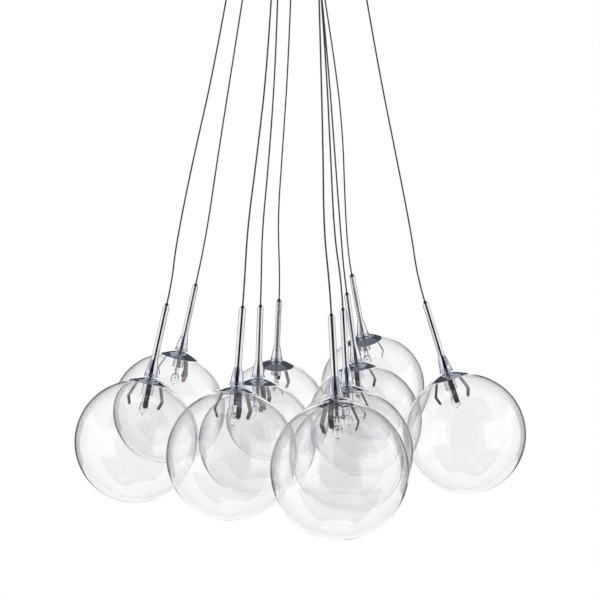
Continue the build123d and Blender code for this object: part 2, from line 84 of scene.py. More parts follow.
# ---- finishes ----------------------------------------------------------------------------------
class MaterialNodes:
    """The nodes of one material round its Principled shader."""

    def __init__(self, name: str) -> None:
        """Starts a material.

        Args:
            name: Name of the material.
        """
        self.material = bpy.data.materials.new(name)
        self.material.use_nodes = True
        self.tree = self.material.node_tree
        self.shader = self.tree.nodes["Principled BSDF"]
        self.place = self.tree.nodes.new("ShaderNodeTexCoord").outputs["Object"]

    def set(self, **values: float | tuple[float, ...]) -> None:
        """Sets plain values of the shader.

        Args:
            values: Socket names with an underscore for each space, and their values.
        """
        for name, value in values.items():
            self.shader.inputs[name.replace("_", " ")].default_value = value

    def feed(self, socket: str, source: NodeSocket) -> None:
        """Links a source to one of the shader's sockets."""
        self.tree.links.new(source, self.shader.inputs[socket])

    def noise(self, size: float, detail: float = 3.0, stretch: Triple = (1, 1, 1)) -> NodeSocket:
        """A cloudy pattern.

        Args:
            size: Size of its largest features.
            detail: How many finer layers it has.
            stretch: How much longer the features are along each axis.

        Returns:
            Its value, about 0.5 on average.
        """
        mapping = self.tree.nodes.new("ShaderNodeMapping")
        mapping.inputs["Scale"].default_value = [1 / s for s in stretch]
        self.tree.links.new(self.place, mapping.inputs["Vector"])
        noise = self.tree.nodes.new("ShaderNodeTexNoise")
        noise.inputs["Scale"].default_value = 1 / size
        noise.inputs["Detail"].default_value = detail
        self.tree.links.new(mapping.outputs["Vector"], noise.inputs["Vector"])
        return noise.outputs["Fac"]

    def span(self, source: NodeSocket, low: float, high: float) -> NodeSocket:
        """Stretches a cloudy pattern's values.

        Args:
            source: The pattern.
            low: Result where the pattern is low.
            high: Result where the pattern is high.

        Returns:
            The new value, kept between low and high.
        """
        node = self.tree.nodes.new("ShaderNodeMapRange")
        ends = {"From Min": PATTERN_LOW, "From Max": PATTERN_HIGH, "To Min": low, "To Max": high}
        for name, value in ends.items():
            node.inputs[name].default_value = value
        self.tree.links.new(source, node.inputs["Value"])
        return node.outputs["Result"]

    def colours(self, source: NodeSocket, first: Triple, second: Triple) -> NodeSocket:
        """A colour between two by a pattern.

        Args:
            source: The pattern, from 0 to 1.
            first: Colour at 0.
            second: Colour at 1.

        Returns:
            The mixed colour.
        """
        node = self.tree.nodes.new("ShaderNodeMix")
        node.data_type = "RGBA"
        share, start, end = node.inputs[0], node.inputs[6], node.inputs[7]
        start.default_value, end.default_value = (*first, 1), (*second, 1)
        self.tree.links.new(source, share)
        return node.outputs[2]

    def relief(self, source: NodeSocket, depth: float) -> None:
        """Turns a pattern into bumps.

        Args:
            source: The pattern, from 0 to 1.
            depth: Height from its lowest to its highest place.
        """
        bump = self.tree.nodes.new("ShaderNodeBump")
        bump.inputs["Distance"].default_value = depth
        self.tree.links.new(source, bump.inputs["Height"])
        self.feed("Normal", bump.outputs["Normal"])


@dataclass(frozen=True)
class Metal:
    """Bare or plated metal with fine polishing marks and light smudges."""

    light: Triple
    dark: Triple
    smooth: float  # roughness where it is cleanest
    rough: float  # and where it is most smudged
    marks: float = 0.0006  # size of the polishing marks
    smudges: float = 0.012  # size of the smudges
    drawn: Triple = (1, 1, 6)  # how much longer the marks are along each axis
    depth: float = 2e-6  # depth of the marks

    def dress(self, nodes: MaterialNodes) -> None:
        """Sets up the material's nodes.

        Args:
            nodes: The material's nodes, still plain.
        """
        clouds = nodes.noise(self.smudges, 2)
        nodes.set(Metallic=1.0)
        nodes.feed("Base Color", nodes.colours(nodes.span(clouds, 0, 1), self.light, self.dark))
        nodes.feed("Roughness", nodes.span(clouds, self.smooth, self.rough))
        nodes.relief(nodes.noise(self.marks, 2, self.drawn), self.depth)


@dataclass(frozen=True)
class Glass:
    """Clear glass with the faint waves of blown work."""

    tint: Triple
    ior: float
    wave: float  # size of the waves
    depth: float  # depth of the waves

    def dress(self, nodes: MaterialNodes) -> None:
        """Sets up the material's nodes."""
        nodes.set(Transmission_Weight=1.0, Roughness=0.0, IOR=self.ior, Base_Color=(*self.tint, 1))
        nodes.relief(nodes.noise(self.wave, 1), self.depth)


@dataclass(frozen=True)
class Moulded:
    """Moulded plastic, fired ceramic or a cord's sheath, with a fine grain and slight shade changes."""

    light: Triple
    dark: Triple
    smooth: float  # roughness on the grain's low places
    rough: float  # and on its high ones
    grain: float = 0.0004  # size of the grain
    shade: float = 0.008  # size of the shade changes
    drawn: Triple = (1, 1, 1)  # how much longer the grain is along each axis
    depth: float = 1e-5  # depth of the grain

    def dress(self, nodes: MaterialNodes) -> None:
        """Sets up the material's nodes.

        Args:
            nodes: The material's nodes, still plain.
        """
        clouds = nodes.noise(self.shade, 3)
        grain = nodes.noise(self.grain, 2, self.drawn)
        nodes.feed("Base Color", nodes.colours(nodes.span(clouds, 0, 1), self.light, self.dark))
        nodes.feed("Roughness", nodes.span(grain, self.smooth, self.rough))
        nodes.relief(grain, self.depth)


class Finish(Enum):
    """The finishes of the pendant, each with the record's slot that it belongs to."""

    GLOBE_GLASS = ("globe_glass", Glass((0.997, 0.998, 0.999), 1.5, 0.045, 2e-4))
    LAMP_GLASS = ("lamp_glass", Glass((0.99, 0.995, 1.0), 1.46, 0.004, 2e-5))
    STEM_CHROME = ("stem_chrome", Metal((0.86, 0.87, 0.90), (0.80, 0.81, 0.85), 0.03, 0.09))
    SLEEVE_CHROME = ("stem_chrome", Metal((0.84, 0.85, 0.88), (0.76, 0.77, 0.80), 0.08, 0.16))
    CANOPY_CHROME = ("canopy_chrome", Metal((0.86, 0.87, 0.90), (0.79, 0.80, 0.84), 0.05, 0.12))
    SPRING_STEEL = (
        "spring_steel",
        Metal((0.32, 0.285, 0.27), (0.23, 0.20, 0.19), 0.10, 0.20, depth=4e-6),
    )
    CORD_SHEATH = (
        "cord_sheath",
        Moulded((0.055, 0.048, 0.044), (0.032, 0.028, 0.026), 0.38, 0.55, 0.0005, 0.02, (1, 1, 8)),
    )
    ZINC = ("zinc_plated_steel", Metal((0.62, 0.64, 0.68), (0.48, 0.50, 0.54), 0.28, 0.45, 0.001, 0.006))
    BLACK_PLASTIC = ("black_plastic", Moulded((0.022, 0.022, 0.024), (0.012, 0.012, 0.013), 0.35, 0.5))
    WHITE_PLASTIC = ("white_plastic", Moulded((0.78, 0.77, 0.74), (0.70, 0.69, 0.66), 0.35, 0.5))
    CERAMIC = (
        "white_plastic",
        Moulded((0.80, 0.78, 0.73), (0.70, 0.67, 0.61), 0.55, 0.8, 0.0005, 0.004, depth=2e-5),
    )
    BRASS = ("brass", Metal((0.72, 0.57, 0.30), (0.58, 0.44, 0.21), 0.15, 0.3))
    LAMP_WIRE = ("zinc_plated_steel", Metal((0.55, 0.55, 0.57), (0.40, 0.40, 0.42), 0.2, 0.35, 0.0003, 0.002))
    TUNGSTEN = ("zinc_plated_steel", Metal((0.22, 0.21, 0.21), (0.12, 0.12, 0.12), 0.35, 0.5, 0.0002, 0.001))

    @property
    def material(self) -> Material:
        """The finish's material, made the first time that it is asked for."""
        name = f"finish_{self.name.lower()}"
        if name not in bpy.data.materials:
            nodes = MaterialNodes(name)
            self.value[1].dress(nodes)
        return bpy.data.materials[name]

    @property
    def slot(self) -> str:
        """The record's slot for this finish."""
        return self.value[0]


# ---- shapes ------------------------------------------------------------------------------------
class Outline:
    """Half section of a turned piece: radius and height of its points, from one end to the other."""

    def __init__(self, radius: float, height: float) -> None:
        """Starts at a point."""
        self.points = [Vector((radius, 0, height))]

    def line(self, *corners: tuple[float, float]) -> Outline:
        """Goes on straight through corners.

        Args:
            corners: Radius and height of each corner.

        Returns:
            The outline itself.
        """
        self.points += [Vector((radius, 0, height)) for radius, height in corners]
        return self

    def arc(self, through: tuple[float, float], end: tuple[float, float], steps: int = 8) -> Outline:
        """Goes on along an arc.

        Args:
            through: Radius and height of a point on the arc.
            end: Radius and height of its end.
            steps: Number of straight steps.

        Returns:
            The outline itself.
        """
        start, last = self.points[-1], Vector((end[0], 0, end[1]))
        to_middle, to_last = Vector((through[0], 0, through[1])) - start, last - start
        normal = to_middle.cross(to_last)
        pull, push = normal.cross(to_middle), to_last.cross(normal)
        centre = start + (to_last.length_squared * pull + to_middle.length_squared * push) / (
            2 * normal.length_squared
        )
        axis = normal.normalized()
        spoke = start - centre
        turn = math.atan2(axis.dot(spoke.cross(last - centre)), spoke.dot(last - centre)) % FULL_TURN
        for k in range(1, steps + 1):
            self.points.append(centre + Matrix.Rotation(turn * k / steps, 3, axis) @ spoke)
        return self

    def turned(self, steps: int, closed: bool = True, sweep: float = FULL_TURN) -> BMesh:
        """Turns the outline about the Z axis.

        Args:
            steps: Number of steps round.
            closed: Whether the last point is joined to the first.
            sweep: Angle that it is turned through.

        Returns:
            The turned shape, with its faces outwards.
        """
        bm = bmesh.new()
        verts = [bm.verts.new(p) for p in self.points]
        edges = [bm.edges.new(pair) for pair in zip(verts, verts[1:])]
        if closed:
            edges.append(bm.edges.new((verts[-1], verts[0])))
        bmesh.ops.spin(
            bm, geom=verts + edges, cent=(0, 0, 0), axis=Z_AXIS, dvec=(0, 0, 0),
            angle=sweep, steps=steps, use_merge=sweep == FULL_TURN,
        )
        return cleaned(bm)


def cleaned(bm: BMesh) -> BMesh:
    """Merges doubled points and turns the faces outwards.

    Args:
        bm: The shape.

    Returns:
        The same shape.
    """
    bmesh.ops.remove_doubles(bm, verts=bm.verts, dist=MERGE)
    bmesh.ops.recalc_face_normals(bm, faces=bm.faces)
    return bm


def softened(bm: BMesh, width: float) -> BMesh:
    """Rounds the sharp edges of a shape.

    Args:
        bm: The shape.
        width: Width of the rounding, from the edge.

    Returns:
        The same shape.
    """
    sharp = [e for e in bm.edges if e.is_manifold and e.calc_face_angle() > SHARP]
    bmesh.ops.bevel(
        bm, geom=sharp, offset=width, offset_type="OFFSET", affect="EDGES", segments=2,
        profile=0.5, material=-1, clamp_overlap=True,
    )
    return cleaned(bm)


def bar(radius: float, low: float, high: float, x: float = 0.0, steps: int = 24) -> BMesh:
    """A round bar along Z.

    Args:
        radius: Its radius.
        low: Height of its lower end.
        high: Height of its upper end.
        x: How far it stands to the right of the origin.
        steps: Number of sides.

    Returns:
        The bar's shape.
    """
    bm = bmesh.new()
    bmesh.ops.create_cone(
        bm, cap_ends=True, segments=steps, radius1=radius, radius2=radius, depth=high - low,
        matrix=Matrix.Translation((x, 0, (low + high) / 2)),
    )
    return bm


def box(size: Triple, centre: Triple) -> BMesh:
    """A block.

    Args:
        size: Its length along each axis.
        centre: Its middle.

    Returns:
        The block's shape.
    """
    bm = bmesh.new()
    bmesh.ops.create_cube(bm, size=1, matrix=Matrix.Translation(centre) @ Matrix.Diagonal((*size, 1)))
    return bm


def wire(points: list[Vector], radius: float, steps: int = 10) -> BMesh:
    """A round wire through points, closed at both ends.

    Args:
        points: The wire's centreline.
        radius: Radius of the wire.
        steps: Number of sides.

    Returns:
        The wire's shape.
    """
    bm = bmesh.new()
    ring = bmesh.ops.create_circle(bm, cap_ends=True, radius=radius, segments=steps)["verts"]
    heading = points[1] - points[0]
    bmesh.ops.rotate(bm, verts=ring, cent=(0, 0, 0), matrix=Z_AXIS.rotation_difference(heading).to_matrix())
    bmesh.ops.translate(bm, verts=ring, vec=points[0])
    face = bm.faces[:][0]
    for k in range(1, len(points)):
        grown = bmesh.ops.extrude_face_region(bm, geom=[face])
        if k > 1:
            bmesh.ops.delete(bm, geom=[face], context="FACES_ONLY")
        face = next(g for g in grown["geom"] if isinstance(g, BMFace))
        ahead = points[min(k + 1, len(points) - 1)] - points[k - 1]
        bmesh.ops.translate(bm, verts=face.verts, vec=points[k] - points[k - 1])
        bmesh.ops.rotate(
            bm, verts=face.verts, cent=points[k], matrix=heading.rotation_difference(ahead).to_matrix()
        )
        heading = ahead
    return cleaned(bm)


def mesh_of(bm: BMesh, name: str) -> Mesh:
    """Makes a mesh of a shape.

    Args:
        bm: The shape. It is used up.
        name: Name of the mesh.

    Returns:
        The mesh.
    """
    mesh = bpy.data.meshes.new(name)
    bm.to_mesh(mesh)
    bm.free()
    return mesh


def linked(name: str, data: ID) -> Object:
    """Adds an object to the scene.

    Args:
        name: Name of the object.
        data: Its mesh, curve, lamp or camera.

    Returns:
        The object.
    """
    added = bpy.data.objects.new(name, data)
    bpy.context.scene.collection.objects.link(added)
    return added


def modified(holder: Object) -> Mesh:
    """A new mesh of an object with its modifiers applied."""
    return bpy.data.meshes.new_from_object(holder.evaluated_get(bpy.context.evaluated_depsgraph_get()))


def joined(*shapes: BMesh) -> BMesh:
    """Puts several shapes in one, each still a solid of its own.

    Args:
        shapes: The shapes. They are used up.

    Returns:
        The shape that holds them all.
    """
    whole = bmesh.new()
    for shape in shapes:
        mesh = mesh_of(shape, "part")
        whole.from_mesh(mesh)
        bpy.data.meshes.remove(mesh)
    return whole


def template(bm: BMesh, weighted: bool = True) -> Mesh:
    """Makes a smooth mesh of a shape.

    Args:
        bm: The shape. It is used up.
        weighted: Whether large faces keep their own shading, as on a machined part.

    Returns:
        The mesh, which pieces copy.
    """
    mesh = mesh_of(bm, "template")
    mesh.shade_smooth()
    if not weighted:
        return mesh
    holder = linked("template", mesh)
    holder.modifiers.new("shading", "WEIGHTED_NORMAL")
    done = modified(holder)
    bpy.data.objects.remove(holder)
    return done


def cut(bm: BMesh, tool: BMesh) -> BMesh:
    """Cuts a tool's shape out of another shape.

    Args:
        bm: The shape that stays. It is used up.
        tool: The shape that is cut out. It is used up.

    Returns:
        What is left.
    """
    holder, knife = (linked("part", mesh_of(shape, "part")) for shape in (bm, tool))
    modifier = holder.modifiers.new("cut", "BOOLEAN")
    modifier.object, modifier.operation, modifier.solver = knife, "DIFFERENCE", "EXACT"
    result = bmesh.new()
    result.from_mesh(modified(holder))
    for used in (holder, knife):
        bpy.data.objects.remove(used)
    return cleaned(result)


def add_piece(name: str, mesh: Mesh, finish: Finish, body: str, place: Matrix) -> Object:
    """Adds a finished piece that rides on a body.

    Args:
        name: Name of the piece.
        mesh: Its mesh, which is copied.
        finish: Its finish.
        body: The body that it moves with.
        place: Where it goes.

    Returns:
        The piece.
    """
    mesh = mesh.copy()
    mesh.name = name
    mesh.transform(place)
    mesh.materials.append(finish.material)
    piece = linked(name, mesh)
    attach(piece, body)
    return piece


# ---- one pendant -------------------------------------------------------------------------------
@dataclass(frozen=True)
class Hanging:
    """How one pendant hangs from the canopy."""

    hole_r: float  # its cord's hole, from the middle of the canopy
    hole_deg: float  # and its angle from +X
    clips_deg: float  # turn of the spring clips about the stem
    length: float  # free length of the cord
    bow: tuple[Triple, ...]  # the cord's points: share of the way down, mm to the right, mm to the back


OUTER, INNER = 0.084, 0.032
HANGINGS = (
    Hanging(OUTER, 189, 38, 0.427, ((0.28, 2.2, 0.8), (0.60, -2.4, -0.9), (0.84, -2.6, -1.2))),
    Hanging(OUTER, 144, 66, 0.404, ((0.26, 0.7, -0.9), (0.58, 1.4, 0.6), (0.80, 3.0, 0.4))),
    Hanging(OUTER, 250, 44, 0.423, ((0.30, 4.2, -0.5), (0.59, 0.9, 0.7), (0.78, -2.5, 0.4))),
    Hanging(INNER, 222, 52, 0.423, ((0.27, 3.0, 0.6), (0.58, 0.6, -0.5), (0.78, -3.0, -0.3))),
    Hanging(OUTER, 96, 81, 0.439, ((0.23, 0.3, 1.1), (0.52, -3.4, 0.6), (0.73, -6.3, -0.6))),
    Hanging(OUTER, 287, 13, 0.442, ((0.30, -1.1, 0.9), (0.57, -2.5, -0.4), (0.78, -5.0, -0.8))),
    Hanging(INNER, 328, 11, 0.429, ((0.28, 0.4, 1.2), (0.56, -2.0, 0.6), (0.79, -4.3, 0.9))),
    Hanging(INNER, 29, 24, 0.411, ((0.27, 1.4, 0.5), (0.60, -0.4, -0.8), (0.82, -1.2, -0.5))),
    Hanging(OUTER, 67, -3, 0.398, ((0.26, 6.5, 0.5), (0.50, 7.3, -0.6), (0.73, 1.0, 1.0))),
    Hanging(OUTER, 340, 30, 0.424, ((0.28, -2.4, 0.9), (0.57, -1.2, -0.6), (0.79, -0.5, 1.0))),
)


@dataclass
class Globe:
    """A clear blown globe with a round hole on top, its middle at the origin."""

    radius: float = 0.075
    wall: float = 0.0015
    hole_r: float = 0.0175
    land: float = 0.0012  # width of the ground flat round the hole
    edge: float = 0.0003  # rounding of the hole's upper edge
    rings: int = 72
    steps: int = 128

    @property
    def seat(self) -> float:
        """Height of the ground flat round the hole."""
        return math.sqrt(self.radius**2 - (self.hole_r + self.land) ** 2)

    def mesh(self) -> Mesh:
        """Makes the glass.

        Returns:
            One closed wall.
        """
        inner = self.radius - self.wall
        mouth = math.sqrt(inner**2 - self.hole_r**2)
        bulge = 0.3 * self.edge
        outline = Outline(0, -self.radius)
        outline.arc((self.radius, 0), (self.hole_r + self.land, self.seat), self.rings)
        outline.line((self.hole_r + self.edge, self.seat))
        outline.arc((self.hole_r + bulge, self.seat - bulge), (self.hole_r, self.seat - self.edge), steps=3)
        outline.line((self.hole_r, mouth))
        outline.arc((inner, 0), (0, -inner), self.rings)
        return template(outline.turned(self.steps, closed=False), weighted=False)


@dataclass
class StemHead:
    """The turned metal of a pendant, from its cap disc up to the ferrule, seen from the globe's middle."""

    seat: float
    hole_r: float
    land: float
    cap_r: float = 0.0255
    rim_drop: float = 0.0009
    rim_t: float = 0.0008
    crest_r: float = 0.0075
    crest_h: float = 0.0062
    dip_w: float = 0.0022
    dip_h: float = 0.0007
    neck_h: float = 0.0040
    shoulder: float = 0.6
    hub_r: float = 0.0085
    recess_h: float = 0.0020
    cone_base_h: float = 0.0074
    ring_r: float = 0.0089
    ring_h: float = 0.0024
    ring_round: float = 0.0008
    groove_r: float = 0.0077
    groove_h: float = 0.0008
    collar_r: float = 0.0083
    collar_h: float = 0.0010
    collar_round: float = 0.0004
    cone_top_r: float = 0.0047
    cone_h: float = 0.0174
    cone_lip_h: float = 0.0010
    cone_swell: float = 0.00025
    stem_bore_r: float = 0.0027
    stem_top: float = 0.0974
    stem_tail: float = 0.0040
    ferrule_r: float = 0.0022
    ferrule_h: float = 0.0030
    ferrule_edge: float = 0.0006
    ferrule_plug: float = 0.0080
    core_r: float = 0.0010
    core_drop: float = 0.0046
    land_over: float = 0.0007  # how far the disc's flat runs out past the globe's
    recess_in: float = 0.0022  # how far its recess stays inside the hole
    edge: float = 0.0001
    tube_edge: float = 0.0003
    steps: int = 96

    @property
    def height(self) -> float:
        """Top of the ferrule above the globe's middle."""
        return self.seat + self.stem_top + self.ferrule_h

    def cap_disc(self) -> Mesh:
        """Makes the shallow domed disc.

        Returns:
            The disc, with a thin rim, a crest and a dip round the stem.
        """
        rim_z, half_t = self.seat - self.rim_drop, self.rim_t / 2
        rim_in = self.cap_r - half_t
        crest_z = self.seat + self.crest_h
        shoulder_z = rim_z + half_t + self.shoulder * (crest_z - rim_z - half_t)
        land_out = self.hole_r + self.land + self.land_over
        land_in = self.hole_r - self.recess_in
        outline = Outline(BORE_R, self.seat)
        outline.line((BORE_R, self.seat + self.neck_h))
        outline.arc((self.crest_r - self.dip_w, crest_z - self.dip_h), (self.crest_r, crest_z), steps=10)
        outline.arc(((rim_in + self.crest_r) / 2, shoulder_z), (rim_in, rim_z + half_t), steps=24)
        outline.arc((self.cap_r, rim_z), (rim_in, rim_z - half_t))
        outline.line((land_out, self.seat), (land_in, self.seat), (land_in, self.seat + self.recess_h))
        outline.line((self.hub_r, self.seat + self.recess_h), (self.hub_r, self.seat))
        return template(outline.turned(self.steps))

    def cone(self) -> Mesh:
        """Makes the slender cone.

        Returns:
            The cone, with a ring, a groove and a collar at its foot.
        """
        base = self.seat + self.cone_base_h
        ring_top = base + self.ring_h
        collar_low = ring_top + self.groove_h
        collar_top = collar_low + self.collar_h
        top = collar_top + self.cone_h
        ring_in, collar_in = self.ring_r - self.ring_round, self.collar_r - self.collar_round
        swell = ((self.groove_r + self.cone_top_r) / 2 + self.cone_swell, (collar_top + top) / 2)
        outline = Outline(BORE_R, base)
        outline.line((ring_in, base))
        outline.arc((self.ring_r, (base + ring_top) / 2), (ring_in, ring_top))
        outline.line((self.groove_r, ring_top), (self.groove_r, collar_low), (collar_in, collar_low))
        outline.arc((self.collar_r, (collar_low + collar_top) / 2), (collar_in, collar_top), steps=6)
        outline.line((self.groove_r, collar_top))
        outline.arc(swell, (self.cone_top_r, top - self.cone_lip_h), steps=12)
        outline.line((self.cone_top_r, top), (BORE_R, top))
        return template(softened(outline.turned(self.steps), self.edge))

    def tube(self) -> Mesh:
        """Makes the stem.

        Returns:
            A straight tube with eased ends.
        """
        low, high = self.seat - self.stem_tail, self.seat + self.stem_top
        outline = Outline(self.stem_bore_r, low)
        outline.line((STEM_R, low), (STEM_R, high), (self.stem_bore_r, high))
        return template(softened(outline.turned(self.steps), self.tube_edge))

    def ferrule(self) -> Mesh:
        """Makes the cord grip in the tube's top.

        Returns:
            The grip, with its plug inside the tube.
        """
        top = self.seat + self.stem_top
        plug_r = self.stem_bore_r - FIT
        outline = Outline(0, top - self.ferrule_plug)
        outline.line((plug_r, top - self.ferrule_plug), (plug_r, top), (self.ferrule_r, top))
        outline.line((self.ferrule_r, self.height - self.ferrule_edge))
        outline.line((self.ferrule_r - self.ferrule_edge, self.height), (0, self.height))
        return template(softened(outline.turned(self.steps // 2, closed=False), self.edge))

    def core(self) -> Mesh:
        """The cord's cores inside the tube."""
        low, high = self.seat - self.core_drop, self.seat + self.stem_top - self.ferrule_plug
        return template(softened(bar(self.core_r, low, high), self.edge))


@dataclass
class SpringSpider:
    """Thin ring with bent spring arms that hold the glass up against the cap."""

    seat: float
    hole_r: float
    arms: int = 3
    width: float = 0.0060
    thickness: float = 0.0010
    slack: float = 0.0003  # gap to the glass at the hole
    root_in: float = 0.0004  # how much further in the first bend's corner is
    root_r: float = 0.0075
    knee_out: float = 0.0076
    knee_drop: float = 0.0205
    tip_out: float = 0.0036
    tip_drop: float = 0.0310
    bend_r: float = 0.0030
    ring_r: float = 0.0083
    edge: float = 0.00015
    steps: int = 64
    tip_steps: int = 8

    def centreline(self) -> list[Vector]:
        """Finds the middle of an arm's thickness.

        Returns:
            Its points, out along the ring, down to the knee and in to the tip.
        """
        mid = self.seat - self.thickness / 2
        half = self.thickness / 2
        corners = [
            Vector((self.root_r, 0, mid)),
            Vector((self.hole_r - self.slack - half - self.root_in, 0, mid)),
            Vector((self.hole_r + self.knee_out - half, 0, self.seat - self.knee_drop)),
            Vector((self.hole_r + self.tip_out - half, 0, self.seat - self.tip_drop)),
        ]
        points = [corners[0]]
        for before, at, after in zip(corners, corners[1:], corners[2:]):
            back, ahead = (before - at).normalized(), (after - at).normalized()
            half_turn = (math.pi - back.angle(ahead)) / 2
            reach = self.bend_r * math.tan(half_turn)
            centre = at + (back + ahead).normalized() * self.bend_r / math.cos(half_turn)
            start, end = at + back * reach, at + ahead * reach
            bend = Outline(start.x, start.z)
            middle = centre + (at - centre).normalized() * self.bend_r
            points += bend.arc((middle.x, middle.z), (end.x, end.z)).points
        return points + [corners[-1]]

    def arm(self) -> BMesh:
        """Bends one flat strip along the centreline.

        Returns:
            The arm, with a round tip.
        """
        points = self.centreline()
        heading = (points[-1] - points[-2]).normalized()
        straight = points[-1] - heading * self.width / 2
        stops = [(p, self.width / 2) for p in points[:-1]] + [(straight, self.width / 2)]
        for k in range(1, self.tip_steps + 1):
            angle = math.pi / 2 * k / self.tip_steps
            along = heading * self.width / 2 * math.sin(angle)
            stops.append((straight + along, max(self.width / 2 * math.cos(angle), self.edge)))
        bm = bmesh.new()
        left, right = (bm.verts.new(stops[0][0] + Y_AXIS * side * stops[0][1]) for side in (-1, 1))
        edge = bm.edges.new((left, right))
        for point, half in stops[1:]:
            grown = bmesh.ops.extrude_edge_only(bm, edges=[edge])["geom"]
            edge = next(g for g in grown if isinstance(g, BMEdge))
            for vert in edge.verts:
                vert.co = point + Y_AXIS * math.copysign(half, vert.co.y)
        bm.normal_update()
        for vert in bm.verts:
            vert.co += vert.normal * self.thickness / 2
        bmesh.ops.solidify(bm, geom=bm.faces[:], thickness=self.thickness)
        return softened(cleaned(bm), self.edge)

    def mesh(self) -> Mesh:
        """Makes the spider.

        Returns:
            The ring with its arms.
        """
        low = self.seat - self.thickness
        outline = Outline(BORE_R, low)
        outline.line((self.ring_r, low), (self.ring_r, self.seat), (BORE_R, self.seat))
        parts = [softened(outline.turned(self.steps), self.edge)]
        for k in range(self.arms):
            arm = self.arm()
            turn = Matrix.Rotation(FULL_TURN * k / self.arms, 3, "Z")
            bmesh.ops.rotate(arm, verts=arm.verts, cent=(0, 0, 0), matrix=turn)
            parts.append(arm)
        return template(joined(*parts))


@dataclass
class LampHolder:
    """Bright sleeve on the stem's end with a ceramic two-pin socket inside."""

    seat: float
    sleeve_r: float = 0.0070
    wall: float = 0.0008
    top_drop: float = 0.00105
    top_t: float = 0.0016
    bottom: float = 0.0154
    socket_top: float = 0.0046
    socket_bottom: float = 0.0142
    pin_half_pitch: float = 0.0020
    pin_hole_r: float = 0.00065
    pin_depth: float = 0.0075
    edge: float = 0.0002
    socket_edge: float = 0.0003

    def sleeve(self) -> Mesh:
        """Makes the sleeve.

        Returns:
            A cup that is open below and bored for the stem.
        """
        top, low = self.seat - self.top_drop, self.seat - self.bottom
        inner = self.sleeve_r - self.wall
        outline = Outline(BORE_R, top)
        outline.line((self.sleeve_r, top), (self.sleeve_r, low), (inner, low))
        outline.line((inner, top - self.top_t), (BORE_R, top - self.top_t))
        return template(softened(outline.turned(96), self.edge))

    def socket(self) -> Mesh:
        """Makes the ceramic socket.

        Returns:
            A plug with a hole for each pin.
        """
        low = self.seat - self.socket_bottom
        radius = self.sleeve_r - self.wall - FIT
        body = softened(bar(radius, low, self.seat - self.socket_top, steps=64), self.socket_edge)
        holes = [
            bar(self.pin_hole_r, low - 0.001, low + self.pin_depth, side * self.pin_half_pitch, steps=20)
            for side in (-1, 1)
        ]
        return template(cut(body, joined(*holes)))


